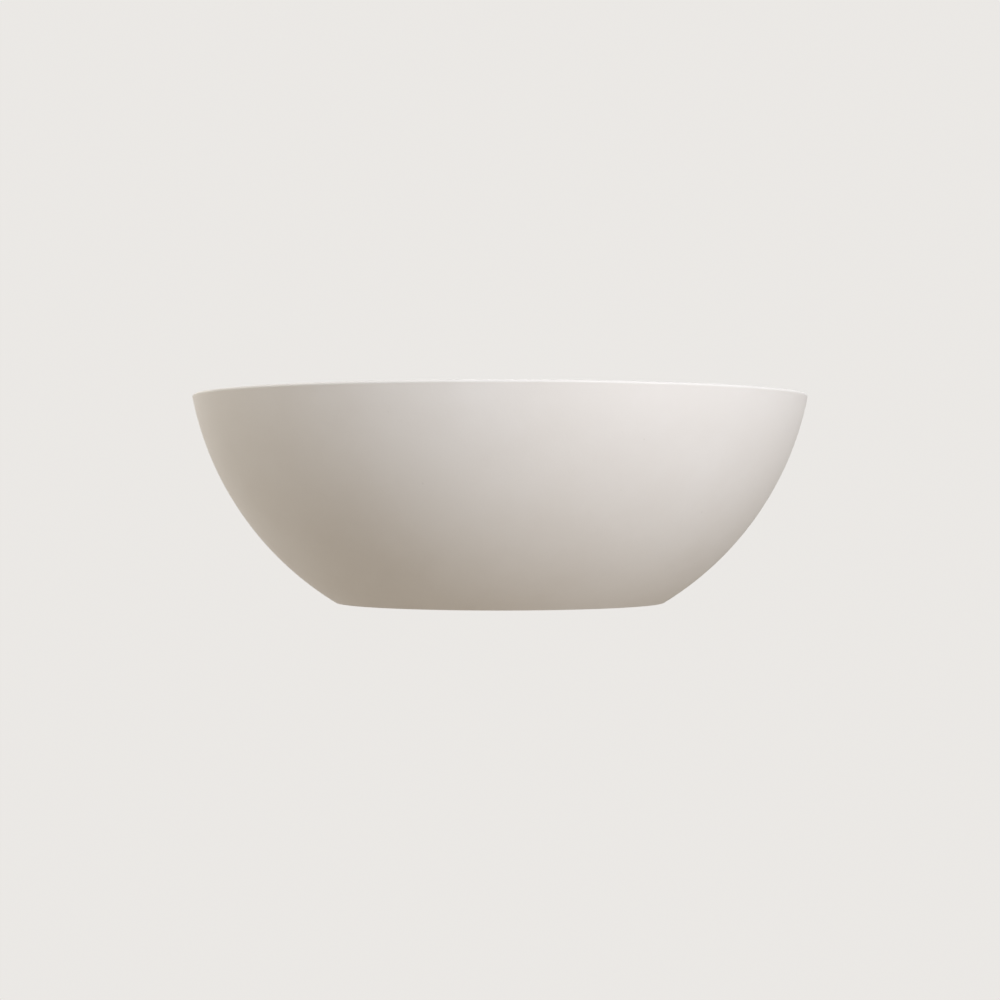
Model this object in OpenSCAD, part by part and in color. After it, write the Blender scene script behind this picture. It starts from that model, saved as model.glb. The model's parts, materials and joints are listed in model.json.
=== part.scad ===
// Half-round ceramic wall light that shines up and down, with its wall bracket, lampholder and lamp.
// The wall is the plane y = 0, the light stands out towards -Y, and +Z is up.
// The origin lies on the wall, midway between the two wall screws.

/* [Shade] */
// Width along the wall, to the corner of the rim before it is rounded
shade_w = 300; // [285:1:330]
// Height from the lower edge to the rim
shade_h = 101; // [96:1:114]
// Width of the lower edge along the wall
foot_w = 160.5; // [152:0.5:168]
// Radius of the curve that the side follows from the lower edge to the rim
side_r = 151; // [144:0.5:170]
// Thickness of the cast wall
wall = 8; // [7:0.25:9]
// Rounding of the two edges of the rim
rim_round = 1; // [0.5:0.25:3]
// Rounding of the two lower edges
foot_round = 0.5; // [0.5:0.25:3]

/* [Shade fixing] */
// Diameter of the thumb screws
thumb_d = 5; // [4:0.5:6]
// Diameter of the knurled heads
thumb_head_d = 16; // [14:0.5:20]
// Thickness of the knurled heads
thumb_head_t = 7; // [5:0.5:9]
// Number of grooves round each knurled head
knurls = 36; // [24:1:48]
// Depth to which the screws reach into the inserts
thumb_grip = 9; // [6:0.5:10]
// Thickness of the washers
washer_t = 1; // [0.8:0.1:1.6]
// Diameter of the washers
washer_d = 12; // [11:0.5:14]
// Diameter of the bosses inside the shade
boss_d = 20; // [16:0.5:22]
// Length of the threaded inserts
insert_l = 12; // [11:0.5:14]
// Wall thickness of the threaded inserts
insert_wall = 1.2; // [0.8:0.1:2]
// Distance of the thumb screws from the wall
screw_out = 20; // [17:0.5:23]

/* [Wall bracket] */
// Thickness of the steel
steel = 1.5; // [1:0.1:2]
// Height of the arms
arm_h = 22; // [20:0.5:24]
// Depth of the folded edges along the arms
fold = 5; // [3:0.5:6]
// Least gap between the ears and the shade
ear_gap = 6; // [4:0.5:9]
// Distance from the wall to the front of the ears
ear_out = 31; // [29:0.5:34]
// Distance between the wall slots
slot_pitch = 140; // [130:1:150]
// Width of the wall slots
slot_w = 5.5; // [4.5:0.25:6.5]
// Length of the wall slots
slot_l = 14; // [10:0.5:18]
// Width of the raised middle
pan_w = 104; // [100:1:110]
// Height of the raised middle
pan_h = 80; // [79:0.5:84]
// Depth of the raised middle
pan_d = 6; // [5.5:0.25:8]
// Corner radius of the raised middle
pan_r = 10; // [4:0.5:12]

/* [Lampholder] */
// Distance from the wall to the lamp's axis
lamp_out = 32; // [30:0.5:40]
// Level of the shelf that carries the lampholder
shelf_z = -41; // [-42:0.25:-40]
// Width of the lampholder's body
holder_w = 24; // [22:0.5:26]
// Depth of the lampholder's body
holder_d = 15; // [13:0.5:17]
// Height of the lampholder's body
holder_h = 16; // [15:0.5:18]
// Thickness of the lampholder's two lugs
lug_t = 5; // [4:0.25:6]
// Distance between the lampholder's screws
lug_pitch = 32; // [31:0.5:36]

/* [Lamp] */
// Distance between the lamp's two contact loops
pin_pitch = 9; // [8.5:0.25:9.5]
// Length of the contact loops below the lamp's base
pin_l = 7.5; // [6:0.25:8]
// Diameter of the lamp's cover
bulb_d = 16; // [15:0.25:19]
// Height of the cover above the lamp's base
bulb_h = 38; // [36:0.5:42]
// Height of the lamp's base
base_h = 9; // [8:0.25:11]

/* [Wiring] */
// Diameter of the hole through the cable grommet
cable_d = 9; // [7:0.5:11]
// Diameter of the insulated inside wires
wire_d = 2.2; // [1.8:0.1:2.4]
// Thickness of the heat-proof sleeves
sleeve_t = 0.5; // [0.3:0.1:0.6]
// Distance between the poles of the terminal block
pole_pitch = 9; // [9:0.25:9.5]
// Length of the terminal block along its wires
block_l = 20; // [18:0.5:21]
// Depth of the terminal block
block_d = 13; // [12:0.5:14]

/* [Hidden] */
$fn = 72;

// Small amount by which a cut runs past the face that it opens
past = 1;
// Amount by which two faces are kept from only just touching
hair = 0.001;
// Clearance round a piece that slides or turns by another
slide_gap = 0.3;
// Clearance round a shank in its thread
thread_gap = 0.05;
// Clearance round a fixed screw or a wire in its hole
hole_gap = 0.2;

// Profile of the shade, in the plane of the radius and the height
rim_z = shade_h / 2;
foot_z = -shade_h / 2;
rim_point = [shade_w / 2, rim_z];
foot_point = [foot_w / 2, foot_z];
chord = foot_point - rim_point;
reach = sqrt(pow(side_r, 2) - pow(norm(chord) / 2, 2));
side_centre = (rim_point + foot_point) / 2 + reach * [chord[1], -chord[0]] / norm(chord);
inner_r = side_r - wall;
foot_dir = (foot_point - side_centre) / side_r;
foot_angle = atan2(foot_dir[1], foot_dir[0]);
// Direction from the lower edge into the wall of the shade
foot_up = [-foot_dir[1], foot_dir[0]];

// Radius of the shade's inner face at a height
function inside_at(z) = side_centre[0] + sqrt(pow(inner_r, 2) - pow(z - side_centre[1], 2));

// Shade fixing: the ears stand clear of the shade at their lowest front corner.
// Their place is cut to a tenth of a millimetre, so that the faces that touch there meet exactly.
screw_z = 0;
ear_reach = sqrt(pow(inside_at(-arm_h / 2), 2) - pow(ear_out, 2)) - ear_gap;
ear_x = floor(10 * ear_reach) / 10;
ear_in = ear_x - steel;
head_x = ear_in - washer_t;
thumb_r = thumb_d / 2;
insert_r = thumb_r + thread_gap + insert_wall;
flare_from = 4;
flare_l = 28;
flare_out = 8;
groove_r = 0.55;
dish_d = 1.2;
head_collar_r = 5.5;
head_collar_h = 2.5;
collar_root = 1;
shank_root = 2;

// Wall bracket
pan_z = -6;
bend_in = 1.5;
bend_r = steel + bend_in;
ear_round = 4;
fold_short = 14;
fold_round = 2.5;
fold_end = ear_x - fold_short;
// Distance from the wall at which the long screws end
wall_clear = 1;
// Length by which a screw stands out of its nut
screw_past = 0.75;

// Lampholder and the arm that carries it
arm_w = 32;
arm_top = -12;
arm_screw_z = -20;
arm_screw_x = 11;
arm_round = 3;
shelf_margin = 3;
wing_end = 6;
wing_round = 5;
wing_d = holder_d + shelf_margin;
wing_w = lug_pitch + 2 * wing_end;
holder_back = lamp_out - holder_d / 2;
arm_front = lamp_out + wing_d / 2;
holder_bottom = shelf_z;
holder_top = shelf_z + holder_h;
holder_round = 3;
lug_end = 4.5;
lug_round = 4;
pocket_w = 5;
pocket_d = 4.6;
slot_skin = 2;
mouth_w = 4.6;
mouth_d = 1.8;
floor_t = 3;
pocket_floor = holder_bottom + floor_t;
contact_t = 0.4;
tip_flare = 0.8;
tip_l = 2;
loop_r = 0.4;
loop_half = 1.3;

// Lamp
base_z = holder_top;
cover_z = base_z + base_h;
cover_t = 1;
bulb_r = bulb_d / 2;
spigot_h = 3;
neck_h = 4;
neck_d = 8.5;
neck_round = 0.5;
collar_from = 3;
collar_h = 3;
board_side = 2.2;
board_w = bulb_d - 2 * (cover_t + board_side);
board_t = 1.2;
board_clear = 2;
board_h = bulb_h - bulb_r - board_clear;
chip = 2.8;
chip_t = 0.6;
chip_rows = 6;

// Terminal block, on the raised middle to the left of the lampholder's arm
poles = [-1, 0, 1];
block_x = -32;
block_top = 0;
block_bottom = block_top - block_l;
block_side = 0.5;
block_round = 1.5;
block_w = 3 * pole_pitch + 2 * block_side;
waist_r = 1.2;
turret_h = 3;
block_front = pan_d + block_d - turret_h;
fixing_x = [block_x - pole_pitch / 2, block_x + pole_pitch / 2];
tube_up = 6;
tube_out = pan_d + tube_up;
tube_r = 2.9;
tube_bore = 1.9;
tube_in = 2;
tube_l = block_l - 2 * tube_in;
tube_stop = 1;
clamp_r = 1.5;
clamp_head_r = 2.1;
clamp_head_h = 1.5;
clamp_slot = 0.6;
clamp_in = 3;
clamp_z = tube_l / 2 - clamp_in;
clamp_slack = 0.5;
// Distance from a tube's axis to the head of a screw that is done up
clamp_seat = tube_r + clamp_slack;
turret_r = 3.5;
ferrule_r = 1.2;
ferrule_short = 0.5;
ferrule_l = (block_l - tube_stop) / 2 - ferrule_short;
collar_l = 2.5;
collar_t = 0.6;

// Cable entry
entry_x = block_x;
entry_z = 19;
entry_r = cable_d / 2;
grommet_wall = 4.5;
lip = 2;
groove_in = entry_r + grommet_wall;
grommet_r = groove_in + lip;

// Inside wires
wire_r = wire_d / 2;
sleeve_hole = wire_r + hole_gap / 2;
sleeve_r = sleeve_hole + sleeve_t;
sleeve_into = 2;
bend = 4.5;
wire_x = [for (p = poles) block_x + p * pole_pitch];
earth_x = wire_x[0];
tag_t = 0.8;
neck_w = 3;
neck_l = 4.5;
barrel_r = wire_r + tag_t;
barrel_l = 5;
barrel_floor = 1;
barrel_drop = 10;
barrel_top = block_bottom - barrel_drop;
barrel_out = pan_d + barrel_r;
earth_z = barrel_top - barrel_l - neck_l;
lead_z = -34;
lead_end = lamp_out - pocket_d / 2;
lead_drop = 5;
front_run = tube_out + lead_drop;
earth_drop = 3.5;
earth_slant = 4.5;
sleeve_live = 10;
sleeve_neutral = 20;

live_route = [
  [wire_x[2], -tube_out, block_bottom],
  [wire_x[2], -tube_out, block_bottom - lead_drop],
  [wire_x[2], -front_run, lead_z],
  [-pin_pitch / 2, -front_run, lead_z],
  [-pin_pitch / 2, -lead_end, lead_z]
];
neutral_route = [
  [wire_x[1], -tube_out, block_bottom],
  [wire_x[1], -tube_out, lead_z],
  [pin_pitch / 2, -tube_out, lead_z],
  [pin_pitch / 2, -lead_end, lead_z]
];
earth_route = [
  [earth_x, -tube_out, block_bottom],
  [earth_x, -tube_out, block_bottom - earth_drop],
  [earth_x, -barrel_out, block_bottom - earth_drop - earth_slant],
  [earth_x, -barrel_out, barrel_top - barrel_l + barrel_floor]
];

// Radii of the screws
arm_screw_r = 2;
lug_screw_r = 1.5;
fix_screw_r = 1.25;
earth_screw_r = 2;
shake_t = 0.6;

bisque = [0.93, 0.91, 0.88];
zinc = [0.72, 0.73, 0.75];
brass = [0.80, 0.64, 0.33];

// ---- Shapes used by more than one piece ----

// A cylinder that stands out from the wall
module peg(x, z, from, to, r) {
  translate([x, -from, z])
    rotate([90, 0, 0])
      cylinder(h = to - from, r = r);
}

// A flat outline in x and z, made solid between two distances from the wall
module sheet(from, to) {
  translate([0, -from, 0])
    rotate([90, 0, 0])
      linear_extrude(to - from)
        children();
}

// A vertical cylinder
module post(x, out, from, to, r) {
  translate([x, -out, from])
    cylinder(h = to - from, r = r);
}

// The children turned so that their +Z points along +X, at a thumb screw's axis
module along_screw(x) {
  translate([x, -screw_out, screw_z])
    rotate([0, 90, 0])
      children();
}

module rounded(w, h, r) {
  square([w - 2 * r, h], center = true);
  square([w, h - 2 * r], center = true);
  for (x = [-1, 1], y = [-1, 1])
    translate([x * (w / 2 - r), y * (h / 2 - r)])
      circle(r);
}

// What is cut away outside a round, between two directions that leave its centre.
// The round is a hair too large, so that it crosses the faces beside it and doesn't just touch them.
module edge_cut(centre, a, b, r) {
  difference() {
    polygon([centre, centre + 3 * r * a, centre + 3 * r * (a + b), centre + 3 * r * b]);
    translate(centre)
      circle(r + hair);
  }
}

// A slot with round ends
module slot(l, w) {
  square([l - w, w], center = true);
  for (x = [-1, 1])
    translate([x * (l - w) / 2, 0])
      circle(w / 2);
}

// A domed screw head with a cross recess, and a shank that hangs below it
module dome_screw(r, l) {
  head_r = 2 * r;
  head_h = 1.3 * r;
  dome_r = 2 * head_r;
  recess_l = 1.1 * head_r;
  recess_w = 0.34 * r;
  difference() {
    intersection() {
      cylinder(h = head_h, r = head_r);
      translate([0, 0, head_h - dome_r])
        sphere(dome_r);
    }
    for (a = [0, 90])
      rotate(a)
        translate([-recess_l / 2, -recess_w / 2, head_h / 2])
          cube([recess_l, recess_w, head_h]);
  }
  translate([0, 0, -l])
    cylinder(h = l, r = r);
}

function nut_h(r) = 1.6 * r;

module nut(r) {
  difference() {
    cylinder(h = nut_h(r), r = 2.05 * r, $fn = 6);
    translate([0, 0, -past])
      cylinder(h = nut_h(r) + 2 * past, r = r + thread_gap);
  }
}

module ring(r, hole) {
  difference() {
    circle(r);
    if (hole > 0)
      circle(hole);
  }
}

// A straight run of wire or sleeve, a little thinner than the bends that it reaches into
module run(from, dir, l, r, hole) {
  thinner = 0.01;
  translate(from)
    rotate([0, acos(dir[2]), atan2(dir[1], dir[0])])
      linear_extrude(l)
        ring(r - thinner, hole > 0 ? hole + thinner : 0);
}

// A bend that starts along one direction at a corner and leaves along another
module elbow(corner, into, away, r, hole) {
  turn = acos(into * away);
  inward = (away - into * cos(turn)) / sin(turn);
  side = cross(into, inward);
  centre = corner - into * bend * tan(turn / 2) + inward * bend;
  multmatrix([for (i = [0:2]) [-inward[i], into[i], side[i], centre[i]]])
    rotate_extrude(angle = turn)
      translate([bend, 0])
        ring(r, hole);
}

// A wire, or a sleeve with a hole, along straight runs joined by bends
module wire(points, r, hole = 0) {
  overlap = 0.05;
  last = len(points) - 1;
  dirs = [for (i = [0:last - 1]) (points[i + 1] - points[i]) / norm(points[i + 1] - points[i])];
  trims = [
    for (i = [0:last])
      i == 0 || i == last ? 0 : bend * tan(acos(dirs[i - 1] * dirs[i]) / 2) - overlap
  ];
  for (i = [0:last - 1])
    run(points[i] + dirs[i] * trims[i], dirs[i],
        norm(points[i + 1] - points[i]) - trims[i] - trims[i + 1], r, hole);
  for (i = [1:last - 1])
    elbow(points[i], dirs[i - 1], dirs[i], r, hole);
}

// ---- Shade ----

module rim_edge(face_r, into) {
  z = rim_z - rim_round;
  x = side_centre[0] + sqrt(pow(face_r + into * rim_round, 2) - pow(z - side_centre[1], 2));
  centre = [x, z];
  edge_cut(centre, -into * (centre - side_centre) / norm(centre - side_centre), [0, 1], rim_round);
}

module foot_edge(face_r, into) {
  along = sqrt(pow(face_r + into * foot_round, 2) - pow(foot_round, 2));
  centre = side_centre + foot_dir * along + foot_up * foot_round;
  edge_cut(centre, -into * (centre - side_centre) / norm(centre - side_centre), -foot_up, foot_round);
}

// The wall follows one arc, is level at the rim and is cut square to itself at the lower edge
module shade_profile() {
  difference() {
    intersection() {
      translate(side_centre)
        ring(side_r, inner_r);
      translate(side_centre)
        rotate(foot_angle)
          square(2 * side_r);
      translate([0, -shade_h])
        square([2 * side_r, shade_h + rim_z]);
    }
    rim_edge(side_r, -1);
    rim_edge(inner_r, 1);
    foot_edge(side_r, -1);
    foot_edge(inner_r, 1);
  }
}

// Everything inside the middle of the cast wall, near the level of the bosses
module boss_limit() {
  rotate([0, 0, 180])
    rotate_extrude(angle = 180)
      intersection() {
        translate(side_centre)
          circle(side_r - wall / 2);
        translate([0, screw_z - boss_d])
          square([shade_w, 2 * boss_d]);
      }
}

// Half of the section of a flare that leaves a boss smoothly and widens towards the shade
module flare_profile() {
  sweep_r = (pow(flare_l, 2) + pow(flare_out, 2)) / (2 * flare_out);
  difference() {
    square([boss_d / 2 + flare_out, flare_l]);
    translate([boss_d / 2 + sweep_r, 0])
      circle(sweep_r + hair);
  }
}

module boss() {
  intersection() {
    along_screw(ear_x) {
      cylinder(h = shade_w / 2, r = boss_d / 2);
      translate([0, 0, flare_from])
        rotate_extrude()
          flare_profile();
    }
    boss_limit();
  }
}

module both_sides() {
  children();
  mirror([1, 0, 0])
    children();
}

module shade() {
  color(bisque)
    difference() {
      union() {
        rotate([0, 0, 180])
          rotate_extrude(angle = 180)
            shade_profile();
        both_sides()
          boss();
      }
      both_sides()
        along_screw(ear_x - past)
          cylinder(h = insert_l + past, r = insert_r);
    }
}

module shade_inserts() {
  color(brass)
    both_sides()
      along_screw(ear_x)
        linear_extrude(insert_l)
          ring(insert_r, thumb_r + thread_gap);
}

// A knurled head with a dished front, a plain collar under it, and the shank
module thumbscrew() {
  knurled_t = thumb_head_t - head_collar_h;
  color(zinc) union() {
    difference() {
      along_screw(head_x - thumb_head_t)
        cylinder(h = knurled_t, r = thumb_head_d / 2);
      for (i = [0:knurls - 1])
        along_screw(head_x - thumb_head_t - past)
          rotate(i * 360 / knurls)
            translate([thumb_head_d / 2, 0, 0])
              cylinder(h = knurled_t + 2 * past, r = groove_r, $fn = 24);
      along_screw(head_x - thumb_head_t - past)
        cylinder(h = past + dish_d, r = thumb_head_d / 4);
    }
    along_screw(head_x - head_collar_h - collar_root)
      cylinder(h = head_collar_h + collar_root, r = head_collar_r);
    along_screw(head_x - shank_root)
      cylinder(h = shank_root + washer_t + steel + thumb_grip, r = thumb_r);
  }
}

module washer() {
  color(zinc)
    along_screw(head_x)
      linear_extrude(washer_t)
        ring(washer_d / 2, thumb_r + slide_gap);
}

module thumbscrew_right() {
  thumbscrew();
}

module thumbscrew_left() {
  mirror([1, 0, 0])
    thumbscrew();
}

module washer_right() {
  washer();
}

module washer_left() {
  mirror([1, 0, 0])
    washer();
}

// ---- Wall bracket ----

// What is cut off along a straight side of a raised shape, seen with its front upwards
module side_cut(to_side, l, front, r) {
  rotate([90, 0, 0])
    linear_extrude(l, center = true)
      edge_cut([to_side - r, front - r], [1, 0], [0, 1], r);
}

module corner_cut(x, y, corner_r, front, r) {
  translate([x, y, 0])
    rotate_extrude(angle = 90)
      edge_cut([corner_r - r, front - r], [1, 0], [0, 1], r);
}

// A raised shape with a rounded outline and a pressed radius round its front
module raised(w, h, corner_r, from, front, r) {
  difference() {
    sheet(from, front)
      rounded(w, h, corner_r);
    rotate([90, 0, 0])
      for (turn = [0, 180])
        rotate(turn) {
          side_cut(w / 2, h - 2 * corner_r, front, r);
          corner_cut(w / 2 - corner_r, h / 2 - corner_r, corner_r, front, r);
          rotate(90) {
            side_cut(h / 2, w - 2 * corner_r, front, r);
            corner_cut(h / 2 - corner_r, w / 2 - corner_r, corner_r, front, r);
          }
        }
  }
}

module pan() {
  translate([0, 0, pan_z])
    difference() {
      raised(pan_w, pan_h, pan_r, 0, pan_d, bend_r);
      raised(pan_w - 2 * steel, pan_h - 2 * steel, pan_r - steel, -past, pan_d - steel, bend_in);
    }
}

// The outline of an arm and its ear, seen from above, with the bend between them
module arm_outline() {
  start = pan_w / 2 - steel;
  bend_centre = [ear_x - bend_r, -bend_r];
  difference() {
    translate([start, -ear_out])
      square([ear_x - start, ear_out]);
    edge_cut(bend_centre, [1, 0], [0, 1], bend_r);
    difference() {
      translate([start - past, -ear_out - past])
        square([ear_in - start + past, ear_out - steel + past]);
      edge_cut(bend_centre, [1, 0], [0, 1], bend_r - steel);
    }
  }
}

// A folded edge of an arm, seen from above, with its free corner rounded
module fold_outline() {
  start = pan_w / 2 - steel;
  difference() {
    translate([start, -fold])
      square([fold_end - start, fold]);
    edge_cut([fold_end - fold_round, fold_round - fold], [1, 0], [0, -1], fold_round);
  }
}

// What is cut off a front corner of an ear, seen from the side
module ear_corner() {
  difference() {
    translate([ear_out - ear_round, arm_h / 2 - ear_round])
      square(ear_round + past);
    translate([ear_out - ear_round, arm_h / 2 - ear_round])
      circle(ear_round);
  }
}

// A cut through the right ear, drawn as distance from the wall and height
module through_ear() {
  translate([ear_x - steel - past, 0, 0])
    multmatrix([[0, 0, 1, 0], [-1, 0, 0, 0], [0, 1, 0, 0]])
      linear_extrude(steel + 2 * past)
        children();
}

module arm() {
  difference() {
    union() {
      translate([0, 0, -arm_h / 2])
        linear_extrude(arm_h)
          arm_outline();
      for (z = [-arm_h / 2, arm_h / 2 - steel])
        translate([0, 0, z])
          linear_extrude(steel)
            fold_outline();
    }
    through_ear() {
      ear_corner();
      mirror([0, 1])
        ear_corner();
      translate([screw_out, screw_z])
        circle(thumb_r + slide_gap);
      translate([screw_out, screw_z - thumb_r - slide_gap])
        square([ear_out - screw_out + past, thumb_d + 2 * slide_gap]);
    }
    sheet(-past, steel + past)
      translate([slot_pitch / 2, 0])
        slot(slot_l, slot_w);
  }
}

module wall_bracket() {
  color(zinc)
    difference() {
      union() {
        pan();
        both_sides()
          arm();
      }
      peg(entry_x, entry_z, 0, pan_d + past, groove_in);
      for (side = [-1, 1])
        peg(side * arm_screw_x, arm_screw_z, 0, pan_d + past, arm_screw_r + hole_gap);
      for (x = fixing_x)
        peg(x, block_top - block_l / 2, 0, pan_d + past, fix_screw_r + hole_gap);
      peg(earth_x, earth_z, 0, pan_d + past, earth_screw_r + thread_gap);
    }
}

// Half of the grommet's section: a sleeve through the hole, with a round-edged lip on each side
module grommet_profile() {
  back = pan_d - steel - lip;
  translate([entry_r, back])
    square([groove_in - entry_r, steel + 2 * lip]);
  for (from = [back, pan_d])
    translate([0, from]) {
      translate([entry_r, 0])
        square([grommet_r - entry_r - lip / 2, lip]);
      translate([grommet_r - lip / 2, lip / 2])
        circle(lip / 2);
    }
}

module cable_grommet() {
  color([0.12, 0.12, 0.12])
    translate([entry_x, 0, entry_z])
      rotate([90, 0, 0])
        rotate_extrude()
          grommet_profile();
}

// ---- Lampholder ----

// The arm seen from the side, as distance from the wall and height: a flange, a bend and a shelf
module arm_side() {
  bottom = shelf_z - steel;
  bend_centre = [pan_d + bend_r, bottom + bend_r];
  difference() {
    translate([pan_d, bottom])
      square([arm_front - pan_d, arm_top - bottom]);
    edge_cut(bend_centre, [-1, 0], [0, -1], bend_r);
    difference() {
      translate([pan_d + steel, shelf_z])
        square([arm_front - pan_d, arm_top - bottom]);
      edge_cut(bend_centre, [-1, 0], [0, -1], bend_r - steel);
    }
  }
}

module shelf_outline() {
  translate([0, -(pan_d + arm_front) / 2])
    rounded(arm_w, arm_front - pan_d, arm_round);
  translate([0, -lamp_out])
    rounded(wing_w, wing_d, wing_round);
}

module lampholder_arm() {
  color(zinc)
    difference() {
      intersection() {
        translate([-wing_w / 2, 0, 0])
          multmatrix([[0, 0, 1, 0], [-1, 0, 0, 0], [0, 1, 0, 0]])
            linear_extrude(wing_w)
              arm_side();
        union() {
          translate([0, 0, shelf_z - steel - past])
            linear_extrude(steel + 2 * past)
              shelf_outline();
          translate([0, 0, (arm_top + shelf_z - steel) / 2])
            sheet(0, pan_d + bend_r)
              rounded(arm_w, arm_top - shelf_z + steel, arm_round);
        }
      }
      for (side = [-1, 1]) {
        peg(side * arm_screw_x, arm_screw_z, 0, pan_d + steel + past, arm_screw_r + hole_gap);
        post(side * lug_pitch / 2, lamp_out, shelf_z - steel - past, shelf_z + past,
             lug_screw_r + hole_gap);
      }
    }
}

module arm_screws() {
  color(zinc)
    for (side = [-1, 1])
      translate([side * arm_screw_x, -pan_d - steel, arm_screw_z])
        rotate([90, 0, 0])
          dome_screw(arm_screw_r, pan_d + steel - wall_clear);
}

module arm_nuts() {
  color(zinc)
    for (side = [-1, 1])
      translate([side * arm_screw_x, -pan_d + steel, arm_screw_z])
        rotate([-90, 0, 0])
          nut(arm_screw_r);
}

module lampholder() {
  color([0.94, 0.93, 0.90])
    difference() {
      translate([0, -lamp_out, holder_bottom]) {
        linear_extrude(holder_h)
          rounded(holder_w, holder_d, holder_round);
        linear_extrude(lug_t)
          rounded(lug_pitch + 2 * lug_end, 2 * lug_end, lug_round);
      }
      for (side = [-1, 1]) {
        translate([side * pin_pitch / 2, -lamp_out, 0]) {
          translate([0, 0, pocket_floor])
            linear_extrude(holder_top - slot_skin - pocket_floor)
              square([pocket_w, pocket_d], center = true);
          translate([0, 0, holder_top - slot_skin - past])
            linear_extrude(slot_skin + 2 * past)
              square([mouth_w, mouth_d], center = true);
        }
        post(side * lug_pitch / 2, lamp_out, holder_bottom - past, holder_bottom + lug_t + past,
             lug_screw_r + hole_gap);
        peg(side * pin_pitch / 2, lead_z, holder_back - past, lamp_out, sleeve_r + hole_gap);
      }
    }
}

// A springy clip seen from the side: a floor, two leaves that lean in, and flared tips
module clip_half() {
  grip = loop_r + slide_gap;
  low = pocket_d / 2;
  top = holder_top - slot_skin - slide_gap;
  pinch = top - tip_l;
  lean = lead_z + wire_r + hole_gap;
  polygon([
    [-past, pocket_floor],
    [low, pocket_floor],
    [low, lean],
    [grip + contact_t, pinch],
    [grip + contact_t + tip_flare, top],
    [grip + tip_flare, top],
    [grip, pinch],
    [low - contact_t, lean],
    [low - contact_t, pocket_floor + contact_t],
    [-past, pocket_floor + contact_t]
  ]);
}

module lamp_contacts() {
  clip_w = pocket_w - 2 * hole_gap;
  color(brass)
    for (side = [-1, 1])
      translate([side * pin_pitch / 2 - clip_w / 2, -lamp_out, 0])
        multmatrix([[0, 0, 1, 0], [-1, 0, 0, 0], [0, 1, 0, 0]])
          linear_extrude(clip_w) {
            clip_half();
            mirror([1, 0])
              clip_half();
          }
}

module lampholder_screws() {
  color(zinc)
    for (side = [-1, 1])
      translate([side * lug_pitch / 2, -lamp_out, holder_bottom + lug_t])
        dome_screw(lug_screw_r, lug_t + steel + nut_h(lug_screw_r) + screw_past);
}

module lampholder_nuts() {
  color(zinc)
    for (side = [-1, 1])
      translate([side * lug_pitch / 2, -lamp_out, shelf_z - steel])
        rotate([180, 0, 0])
          nut(lug_screw_r);
}

// ---- Terminal block ----

module at_pole(p) {
  translate([block_x + p * pole_pitch, -tube_out, block_top - block_l / 2])
    children();
}

module terminal_block() {
  color([0.90, 0.90, 0.88])
    difference() {
      union() {
        translate([block_x, 0, block_top - block_l / 2])
          sheet(pan_d, block_front)
            rounded(block_w, block_l, block_round);
        for (p = poles, z = [-clamp_z, clamp_z])
          at_pole(p)
            translate([0, 0, z])
              rotate([90, 0, 0])
                cylinder(h = block_d + pan_d - tube_out, r = turret_r);
      }
      for (p = poles)
        at_pole(p) {
          translate([0, 0, -block_l / 2 - past])
            cylinder(h = block_l + 2 * past, r = tube_bore + hole_gap);
          translate([0, 0, -tube_l / 2])
            cylinder(h = tube_l, r = tube_r);
          for (z = [-clamp_z, clamp_z])
            translate([0, 0, z])
              rotate([90, 0, 0])
                cylinder(h = block_d + past, r = clamp_head_r + hole_gap);
        }
      // Waists between the poles, and the fixing holes in them
      for (x = fixing_x) {
        post(x, block_front, block_bottom - past, block_top + past, waist_r);
        peg(x, block_top - block_l / 2, pan_d - past, pan_d + block_d, fix_screw_r + hole_gap);
      }
    }
}

// Brass tubes with a stop in the middle, so that wires from both ends meet under their own screws
module terminal_tubes() {
  color(brass)
    for (p = poles)
      at_pole(p)
        difference() {
          translate([0, 0, -tube_l / 2])
            cylinder(h = tube_l, r = tube_r);
          for (z = [-tube_l / 2 - past, tube_stop / 2])
            translate([0, 0, z])
              cylinder(h = (tube_l - tube_stop) / 2 + past, r = tube_bore);
          for (z = [-clamp_z, clamp_z])
            translate([0, 0, z])
              rotate([90, 0, 0])
                cylinder(h = tube_r + past, r = clamp_r);
        }
}

// The lower screws clamp the inside wires, and the upper ones stand open for the supply
module terminal_screws() {
  shank_l = clamp_seat - ferrule_r;
  color(zinc)
    for (p = poles, open = [0, 1])
      at_pole(p)
        translate([0, 0, open == 1 ? clamp_z : -clamp_z])
          rotate([90, 0, 0])
            translate([0, 0, open == 1 ? tube_bore + hole_gap : ferrule_r])
              difference() {
                union() {
                  cylinder(h = shank_l, r = clamp_r);
                  translate([0, 0, shank_l])
                    cylinder(h = clamp_head_h, r = clamp_head_r);
                }
                translate([-clamp_head_r - past, -clamp_slot / 2, shank_l + clamp_head_h / 2])
                  cube([2 * (clamp_head_r + past), clamp_slot, clamp_head_h]);
              }
}

module terminal_fixing() {
  color(zinc)
    for (x = fixing_x) {
      translate([x, -block_front, block_top - block_l / 2])
        rotate([90, 0, 0])
          dome_screw(fix_screw_r, block_front - pan_d + steel + nut_h(fix_screw_r) + screw_past);
      translate([x, -pan_d + steel, block_top - block_l / 2])
        rotate([-90, 0, 0])
          nut(fix_screw_r);
    }
}

// ---- Wiring ----

module lead_live() {
  color([0.45, 0.24, 0.12])
    wire(live_route, wire_r);
}

module lead_neutral() {
  color([0.15, 0.35, 0.70])
    wire(neutral_route, wire_r);
}

module lead_earth() {
  color([0.30, 0.60, 0.20])
    wire(earth_route, wire_r);
}

// The end of a route, from a distance before its last bend to just inside the lampholder
function route_end(route, before) =
  let(n = len(route))
  let(dir = (route[n - 3] - route[n - 2]) / norm(route[n - 3] - route[n - 2]))
  [route[n - 2] + dir * before, route[n - 2], [route[n - 1][0], -holder_back - sleeve_into, lead_z]];

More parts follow.
